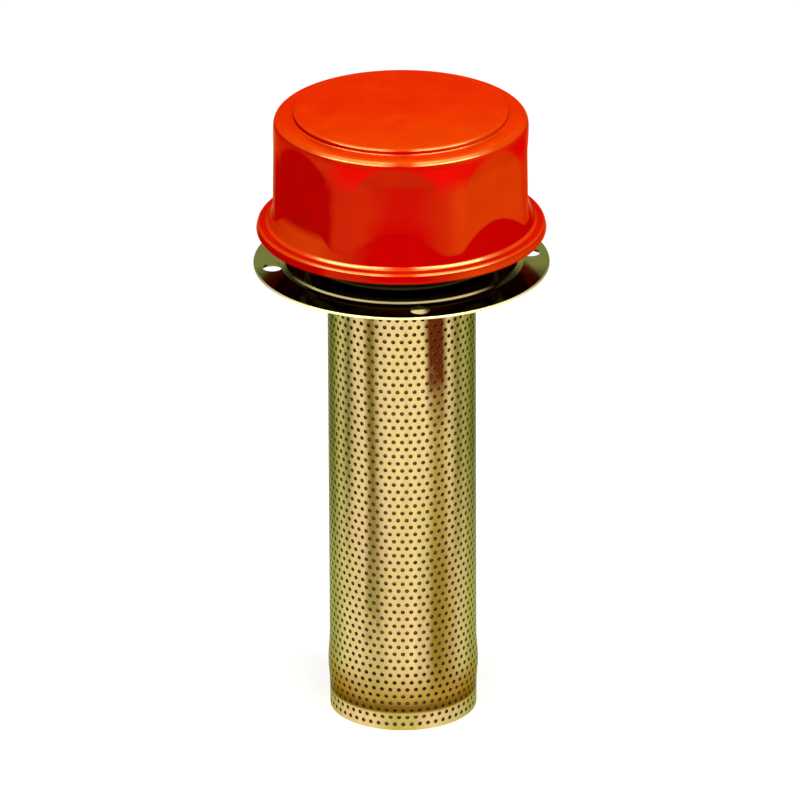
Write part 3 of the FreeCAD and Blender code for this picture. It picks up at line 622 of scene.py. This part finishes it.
def red_plastic():
    """Glossy orange-red moulding: its reflections keep its own colour, its colour is painted with light,
    shade and reflections by direction, and painted highlights make its leaning edges pale.
    """
    paint = Paint("red_plastic", Metallic=0.5, Specular_IOR_Level=0.0)
    paint.shader.inputs["Specular Tint"].default_value = (1.0, 0.34, 0.10, 1)
    place = paint.node("ShaderNodeSeparateXYZ", {0: paint.place})
    normal = paint.node("ShaderNodeSeparateXYZ", {0: paint.node("ShaderNodeTexCoord").outputs["Normal"]})
    height, upwards = place.outputs["Z"], normal.outputs["Z"]
    placed = paint.turn_from_front(place, paint.noise(16))
    front = paint.facing(placed, 0, 18)

    # The flats lie inside the round side, and the flare leans up below them; round all three the colour is
    # painted light, shade and reflection by degrees from the front.
    side = side_radius(crease)
    in_flat = paint.math("MAXIMUM", paint.between(paint.distance_from_axis(place), side - 0.1, side - 0.5),
                         paint.between(height, crease + 2, crease - 3))
    in_flare = paint.product(paint.between(height, *FLARE_RISE), paint.steps(upwards, 0.30, 0.38))
    high_on_left = paint.product(paint.steps(placed, (180 - 25) / 360, (180 - 30) / 360),
                                 paint.between(height, *LEFT_FLARE_RISE))
    in_flare = paint.math("SUBTRACT", in_flare, paint.product(in_flare, high_on_left))
    colour = paint.blend(in_flat, paint.bands(placed, SIDE_BANDS), paint.bands(placed, FLAT_BANDS))
    colour = paint.blend(in_flare, colour, paint.bands(placed, FLARE_BANDS))
    # Painted shade and light in front: deeper red low down, and warmer red where the surface faces down.
    low_in_front = paint.product(front, paint.between(height, *FRONT_PATCH_RISE))
    front_arch = paint.product(front, paint.steps(upwards, -0.05, -0.25))
    colour = paint.tint([DEEP_RED, WARM_RED], [low_in_front, front_arch], colour)

    # The crown, the shoulder and the brim face up and are painted lighter and more orange, most towards the
    # front, the brim redder; their leaning edges get painted highlights.
    towards_front = paint.math("ADD", paint.between(place.outputs["Y"], 5, -30),
                               paint.math("MULTIPLY_ADD", paint.noise(7), 1.2, -0.6))
    upper = paint.ramp(towards_front, [(0.0, UPPER_RED), (1.0, UPPER_ORANGE)])
    upper = paint.tint([BRIM_RED], [paint.between(height, *BRIM_RISE)], upper)
    colour = paint.blend(paint.steps(upwards, 0.50, 0.85), colour, upper)
    colour = paint.blend(paint.window(upwards, 0.68, 0.24), colour, paint.bands(placed, EDGE_HIGHLIGHT_BANDS))

    mottle = paint.ramp(paint.noise(9), [(0.3, (0.93, 0.86, 0.9)), (0.7, PLAIN)])
    paint.join("Base Color", paint.multiply(colour, mottle))
    paint.uneven_gloss(3, 0.12, 0.20)
    paint.bump(paint.noise(1.4, 2), 0.015)
    return paint.material


# Colours of the flange, with painted shade on its seat and painted highlights on its bends, the ends of the
# painted highlight arc on its step and the height of the neck's yellow in millimetres, and its painted darker
# reflection by degrees from its front
PAINTED_FRONT_SHADE = (0.08, 0.09, 0.10)
SEAT_SHADE = (0.02, 0.02, 0.008)
PAINTED_BEND_HIGHLIGHT = (0.98, 0.95, 0.45)
ARC_RIGHT = (23, 15)
ARC_LEFT = (-32, -27)
NECK_RISE = (4.8, 6.5)
FLANGE_BANDS = [(-180, PLAIN), (-86, PLAIN), (-74, PAINTED_FRONT_SHADE), (72, PAINTED_FRONT_SHADE), (86, PLAIN), (180, PLAIN)]


def passivated_flange():
    """Olive passivated pressed sheet, smooth enough to mirror what is near it, with painted highlights on its
    bent step and rim, painted shade on its seat and a painted darker reflection across its front.
    """
    paint = Paint("passivated_steel", Specular_IOR_Level=0.0)
    paint.shader.inputs["Specular Tint"].default_value = (0.8, 0.8, 0.55, 1)
    place = paint.node("ShaderNodeSeparateXYZ", {0: paint.place})
    radius = paint.distance_from_axis(place)
    placed = paint.turn_from_front(place, paint.noise(12))
    across = place.outputs["X"]
    olive = paint.ramp(paint.noise(9), [(0.3, (0.11, 0.13, 0.030)), (0.7, (0.18, 0.18, 0.050))])
    # Painted shade on the seat under the cap, and painted highlights on the bent step, made matte there, and
    # on the front of the rim.
    seat = paint.between(radius, seat_edge - 1.0, seat_edge - 3.0)
    step = paint.product(paint.window(radius, seat_edge * MM, 0.5 * MM),
                         paint.between(across, *ARC_RIGHT), paint.between(across, *ARC_LEFT))
    rim = paint.product(paint.between(radius, flange_edge - 0.5, flange_edge - 0.2),
                        paint.facing(placed, 0, 84))
    neck = paint.product(paint.between(radius, neck_radius + 2.0, neck_radius + 1.0),
                         paint.between(place.outputs["Z"], *NECK_RISE))
    colour = paint.tint([SEAT_SHADE, PAINTED_BEND_HIGHLIGHT, STRAW], [seat, paint.math("MAXIMUM", step, rim), neck],
                        paint.multiply(olive, paint.bands(placed, FLANGE_BANDS)))
    paint.join("Base Color", colour)
    paint.join("Metallic", paint.math("MULTIPLY_ADD", step, -0.9, 1.0))
    paint.join("Roughness", paint.math("MULTIPLY_ADD", step, 0.4, paint.spread(paint.noise(4), 0.08, 0.15)))
    paint.bump(paint.noise(4.0, 2), 0.008)
    return paint.material


# Colours of the strainer: its passivation tints, laid out as painted reflections and shade
CREAM = (0.80, 0.62, 0.27)
PINK_CREAM = (0.75, 0.57, 0.28)
SAND = (0.60, 0.47, 0.20)
SAGE = (0.62, 0.56, 0.22)
STRAW = (0.53, 0.42, 0.115)
OCHRE = (0.44, 0.31, 0.08)
OLIVE_BROWN = (0.34, 0.27, 0.085)
YELLOW_BROWN = (0.30, 0.21, 0.026)
PALE_OLIVE = (0.42, 0.39, 0.13)
OLIVE = (0.25, 0.215, 0.055)
MOSS = (0.19, 0.18, 0.04)
GREEN = (0.19, 0.195, 0.045)
DARK_GREEN = (0.045, 0.075, 0.012)
DARK = (0.22, 0.155, 0.025)
BEAD_YELLOW_SHADE = (0.45, 0.28, 0.038)
BEAD_ORANGE_SHADE = (0.33, 0.155, 0.022)
BEAD_BROWN_SHADE = (0.16, 0.082, 0.004)
DULL_RED = (0.12, 0.014, 0.003)

# Heights in millimetres between which the tube's colours fade in
UPPER_PART_RISE = (-95, -50)
FOOT_RISE = (-128.2, -128.8)
DARK_BAND_RISE = (-106, -98)
RED_REFLECTION_RISE = (-41, -27)
BEAD_YELLOW_SHADE_RISE = (-129, -112)
BEAD_ORANGE_SHADE_RISE = (-129, -117)
BEAD_BROWN_SHADE_RISE = (-129, -124)

# Painted reflections of the surroundings: colours round the tube's upper part, its lower part and its foot,
# by degrees from its front, with painted dark gaps and darker green edges
UPPER_BANDS = [(-180, CREAM), (-160, SAND), (-150, DARK), (-140, SAND), (-118, OLIVE), (-100, PALE_OLIVE),
               (-74, DARK_GREEN), (-66, GREEN), (-56, SAGE), (-47, MOSS), (-39, PINK_CREAM),
               (-31, PINK_CREAM), (-26, DARK), (-23, DARK), (-17, PINK_CREAM), (-8, CREAM), (18, CREAM),
               (25, OCHRE), (31, OCHRE), (38, PINK_CREAM), (46, OLIVE), (55, PALE_OLIVE), (66, GREEN),
               (74, DARK_GREEN), (100, PALE_OLIVE), (118, OLIVE), (140, SAND), (150, DARK), (160, SAND),
               (180, CREAM)]
LOWER_BANDS = [(-180, CREAM), (-160, SAND), (-120, SAND), (-82, PALE_OLIVE), (-67, PALE_OLIVE), (-56, SAGE),
               (-44, CREAM), (-36, PINK_CREAM), (-26, SAND), (-18, SAND), (-7, CREAM), (10, CREAM),
               (18, SAND), (24, YELLOW_BROWN), (31, YELLOW_BROWN), (38, OCHRE), (46, SAND), (56, SAGE),
               (67, PALE_OLIVE), (82, PALE_OLIVE), (120, SAND), (160, SAND), (180, CREAM)]
FOOT_BANDS = [(-180, SAND), (-66, SAND), (-50, PINK_CREAM), (-24, PINK_CREAM), (-8, STRAW), (8, STRAW),
              (24, PINK_CREAM), (46, SAND), (66, PALE_OLIVE), (120, SAND), (180, SAND)]


def passivated_tube():
    """Yellow passivated rolled sheet: painted reflections in bands along the tube, fine streaks, a painted
    dull red reflection at the top and painted shade and reflection on the bead.
    """
    paint = Paint("passivated_tube", Metallic=1.0)
    paint.shader.inputs["Specular Tint"].default_value = (0.60, 0.68, 0.42, 1)
    parts = paint.node("ShaderNodeSeparateXYZ", {0: paint.place})
    height = parts.outputs["Z"]
    placed = paint.turn_from_front(parts, paint.noise(20, 3, (1, 1, 5)))
    rise = paint.math("ADD", height, paint.math("MULTIPLY_ADD", paint.noise(9), 0.03, -0.015))
    # Painted reflection: the dark gap left of the front reaches down into the lower part as olive-brown.
    dark_band = paint.product(paint.facing(placed, -24, 8), paint.between(rise, *DARK_BAND_RISE))
    lower = paint.tint([OLIVE_BROWN], [dark_band], paint.bands(placed, LOWER_BANDS))
    colour = paint.blend(paint.between(rise, *UPPER_PART_RISE), lower, paint.bands(placed, UPPER_BANDS))
    colour = paint.blend(paint.between(height, *FOOT_RISE), colour, paint.bands(placed, FOOT_BANDS))

    # A painted dull red reflection at the top, and painted shade and reflection on the bead: yellow, orange
    # away from the front, and brown at the bend at its foot.
    red = paint.product(paint.facing(placed, 27, 10.5), paint.between(rise, *RED_REFLECTION_RISE))
    yellow = paint.levels(paint.between(height, *BEAD_YELLOW_SHADE_RISE),
                          [(0.0, 0.0), (0.05, 0.9), (0.3, 0.9), (0.5, 0.55), (0.7, 0.22), (1.0, 0.0)])
    orange_bead_shade = paint.levels(paint.between(height, *BEAD_ORANGE_SHADE_RISE),
                        [(0.0, 0.0), (0.1, 0.0), (0.2, 0.8), (0.6, 0.6), (1.0, 0.0)])
    orange_bead_shade = paint.product(orange_bead_shade, paint.math("SUBTRACT", 1.0, paint.facing(placed, 0, 55)))
    brown = paint.levels(paint.between(height, *BEAD_BROWN_SHADE_RISE),
                         [(0.0, 0.0), (0.1, 0.0), (0.2, 0.95), (0.5, 0.9), (0.8, 0.35), (1.0, 0.1)])
    colour = paint.tint([DULL_RED, BEAD_YELLOW_SHADE, BEAD_ORANGE_SHADE, BEAD_BROWN_SHADE], [red, yellow, orange_bead_shade, brown], colour)

    streaks = paint.ramp(paint.noise(2.0, 5, (1, 1, 20)), [(0.3, (0.84, 0.82, 0.75)), (0.7, PLAIN)])
    clouds = paint.ramp(paint.noise(16), [(0.35, (1.0, 0.95, 0.95)), (0.65, (0.97, 1.0, 0.83))])
    paint.join("Base Color", paint.multiply(paint.multiply(colour, streaks), clouds))
    paint.uneven_gloss(1.5, 0.24, 0.36)
    paint.bump(paint.noise(2.0, 3), 0.01)
    return paint.material


def passivated_sheet():
    """Yellow passivated sheet without stains."""
    paint = Paint("passivated_sheet", Metallic=1.0)
    paint.mottled(9, STRAW, SAND)
    paint.uneven_gloss(1.5, 0.24, 0.36)
    paint.bump(paint.noise(2.0, 3), 0.01)
    return paint.material


def brass_gauze():
    """Woven wire gauze, dull with oil: two sets of wires round and along the tube."""
    paint = Paint("wire_gauze", Metallic=0.7)
    parts = paint.node("ShaderNodeSeparateXYZ", {0: paint.place})
    turn = paint.math("ARCTAN2", parts.outputs["Y"], parts.outputs["X"])
    wires_round = round(2 * math.pi * tube_radius / gauze_pitch)
    wires_up = 2 * math.pi / (gauze_pitch * MM)
    along = paint.math("COSINE", paint.math("MULTIPLY", turn, wires_round))
    around = paint.math("COSINE", paint.math("MULTIPLY", parts.outputs["Z"], wires_up))
    weave = paint.math("MULTIPLY_ADD", paint.math("MAXIMUM", along, around), 0.5, 0.5)
    paint.join("Base Color", paint.ramp(weave, [(0.2, (0.06, 0.025, 0.008)), (0.8, (0.36, 0.17, 0.05))]))
    paint.uneven_gloss(1.0, 0.45, 0.6)
    paint.bump(weave, 0.1)
    return paint.material


def passivated_inside():
    """The unpolished inner side of the perforated sheet and the cut edges of its holes."""
    paint = Paint("passivated_inside", Metallic=0.6)
    paint.mottled(3, (0.15, 0.07, 0.018), (0.28, 0.14, 0.04))
    paint.uneven_gloss(1.0, 0.5, 0.65)
    return paint.material


def plated_steel():
    paint = Paint("plain_steel", Metallic=1.0)
    paint.mottled(4, (0.50, 0.50, 0.49), (0.66, 0.66, 0.64))
    paint.uneven_gloss(0.8, 0.24, 0.36)
    paint.bump(paint.noise(0.5, 2), 0.008)
    return paint.material


def spring_steel():
    paint = Paint("spring_steel", Metallic=1.0)
    paint.mottled(2, (0.22, 0.21, 0.20), (0.38, 0.37, 0.35))
    paint.uneven_gloss(0.6, 0.28, 0.42)
    return paint.material


def turned_brass():
    paint = Paint("brass", Metallic=1.0)
    paint.mottled(2, (0.62, 0.42, 0.14), (0.80, 0.58, 0.24))
    paint.uneven_gloss(0.4, 0.2, 0.32)
    return paint.material


def black_rubber():
    paint = Paint("black_rubber", Specular_IOR_Level=0.4)
    paint.mottled(3, (0.014, 0.014, 0.014), (0.03, 0.03, 0.03))
    paint.uneven_gloss(0.8, 0.55, 0.72)
    paint.bump(paint.noise(0.5, 3), 0.03)
    return paint.material


def grey_felt():
    paint = Paint("felt", Sheen_Weight=0.4, Roughness=0.95)
    paint.mottled(0.4, (0.20, 0.19, 0.16), (0.38, 0.36, 0.31), 6)
    paint.bump(paint.noise(0.3, 6), 0.2)
    return paint.material


def filter_paper():
    paint = Paint("filter_paper", Roughness=0.9)
    paint.mottled(0.9, (0.58, 0.45, 0.24), (0.70, 0.57, 0.34), 6)
    paint.bump(paint.noise(0.4, 5), 0.05)
    return paint.material


def dress(names, material):
    """Give CAD nodes a material."""
    for name in names:
        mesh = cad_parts[name].data
        mesh.materials.clear()
        mesh.materials.append(material)


# Pieces
tube_steel = passivated_tube()
tube_inside = passivated_inside()
cover_plastic = red_plastic()

tube = make_object("strainer_mesh", perforated_tube(), "base", ["strainer_tube"])
tube.data.materials.append(tube_steel)
tube.data.materials.append(tube_inside)
cup = make_object("strainer_cup", perforated_cup(), "base", ["strainer_bottom"])
cup.data.materials.append(tube_steel)
cup.data.materials.append(tube_inside)
cover = make_object("cap_shell", cap_cover_mesh(), "cap", ["cap_cover"])
cover.data.materials.append(cover_plastic)

dress(["flange_plate"], passivated_flange())
dress(["bayonet_ring", "strainer_collar"], passivated_sheet())
dress(["seal_plate", "element_bottom_cap", "element_core", "element_top_cap", "spacer_sleeve",
       "bayonet_strip", "centre_screw"], plated_steel())
dress(["seal_spring", "spring_washer"], spring_steel())
dress(["threaded_insert"], turned_brass())
dress(["strainer_gauze"], brass_gauze())
dress(["flange_gasket", "cap_seal"], black_rubber())
dress(["felt_seal"], grey_felt())
dress(["pleated_paper"], filter_paper())


# Stage: a pale floor, soft lamps and a plain world
def floor_material():
    """Pale and matte, and white to the camera and in reflections, with the shadow kept."""
    paint = Paint("floor", Roughness=0.9)
    paint.shader.inputs["Base Color"].default_value = (0.8, 0.8, 0.8, 1)
    strength = paint.math("MULTIPLY", seen_directly(paint.tree), 0.5)
    glow = paint.node("ShaderNodeEmission", {"Color": (1, 1, 1, 1), "Strength": strength})
    both = paint.node("ShaderNodeAddShader")
    paint.tree.links.new(paint.shader.outputs[0], both.inputs[0])
    paint.tree.links.new(glow.outputs[0], both.inputs[1])
    paint.tree.links.new(both.outputs[0], paint.tree.nodes["Material Output"].inputs["Surface"])
    return paint.material


def seen_directly(tree):
    """1 for camera, glossy and transmission rays, and 0 for the others."""
    path = tree.nodes.new("ShaderNodeLightPath")
    seen = path.outputs["Is Camera Ray"]
    for kind in ("Is Glossy Ray", "Is Transmission Ray"):
        higher = tree.nodes.new("ShaderNodeMath")
        higher.operation = "MAXIMUM"
        tree.links.new(seen, higher.inputs[0])
        tree.links.new(path.outputs[kind], higher.inputs[1])
        seen = higher.outputs[0]
    return seen


def add_floor():
    """A square that the part stands on."""
    reach = 6.0
    mesh = bpy.data.meshes.new("floor")
    height = tube_low.z * MM
    mesh.from_pydata([(-reach, -reach, height), (reach, -reach, height), (reach, reach, height),
                      (-reach, reach, height)], [], [(0, 1, 2, 3)])
    floor = bpy.data.objects.new("floor", mesh)
    bpy.context.scene.collection.objects.link(floor)
    mesh.materials.append(floor_material())


def add_world():
    """White where it is seen, and dimmer as a light."""
    ambient = 0.35
    world = bpy.data.worlds.new("studio")
    bpy.context.scene.world = world
    world.use_nodes = True
    tree = world.node_tree
    back = tree.nodes["Background"]
    strength = tree.nodes.new("ShaderNodeMapRange")
    strength.inputs["To Min"].default_value = ambient
    strength.inputs["To Max"].default_value = 1.0
    tree.links.new(seen_directly(tree), strength.inputs["Value"])
    tree.links.new(strength.outputs[0], back.inputs["Strength"])
    back.inputs["Color"].default_value = (1, 1, 1, 1)


def add_lamp(name, azimuth, elevation, distance, size, power, aim):
    """An area lamp that looks at a point, placed by direction as the camera is."""
    data = bpy.data.lights.new(name, "AREA")
    data.shape = "RECTANGLE"
    data.size, data.size_y = size
    data.energy = power
    lamp = bpy.data.objects.new(name, data)
    bpy.context.scene.collection.objects.link(lamp)
    place_round(lamp, azimuth, elevation, distance, aim)


def place_round(thing, azimuth, elevation, distance, aim):
    """Put a lamp or camera in a direction from a point and turn it towards the point."""
    across, up = math.radians(azimuth), math.radians(elevation)
    back = Vector((math.sin(across) * math.cos(up), -math.cos(across) * math.cos(up), math.sin(up)))
    thing.location = aim + back * distance
    thing.rotation_mode = "QUATERNION"
    thing.rotation_quaternion = (-back).to_track_quat("-Z", "Y")


def add_camera():
    """The photograph's angle, scale and slight roll, with a long lens."""
    data = bpy.data.cameras.new("camera")
    distance = 3.3
    pixels_per_metre = 3555
    roll = math.radians(-0.25)
    aim = Vector((-0.0006, 0, -0.0407))
    data.sensor_width = 36
    data.lens = data.sensor_width * distance * pixels_per_metre / photo_pixels
    data.clip_end = 100
    camera = bpy.data.objects.new("camera", data)
    bpy.context.scene.collection.objects.link(camera)
    place_round(camera, photo_azimuth, photo_elevation, distance, aim)
    camera.rotation_quaternion = camera.rotation_quaternion @ Quaternion((0, 0, 1), roll)
    bpy.context.scene.camera = camera


cap_middle = Vector((0, 0, (brim_top + crown_top) / 2 * MM))
add_floor()
add_world()
add_camera()
add_lamp("left_strip", -52, 40, 1.2, (1.4, 0.2), 6.0, cap_middle)
add_lamp("right_strip", 36, 40, 1.2, (1.3, 0.2), 7.0, cap_middle)
add_lamp("top", 0, 80, 1.1, (0.8, 0.8), 1.5, cap_middle)

bpy.context.scene.view_settings.view_transform = "Standard"
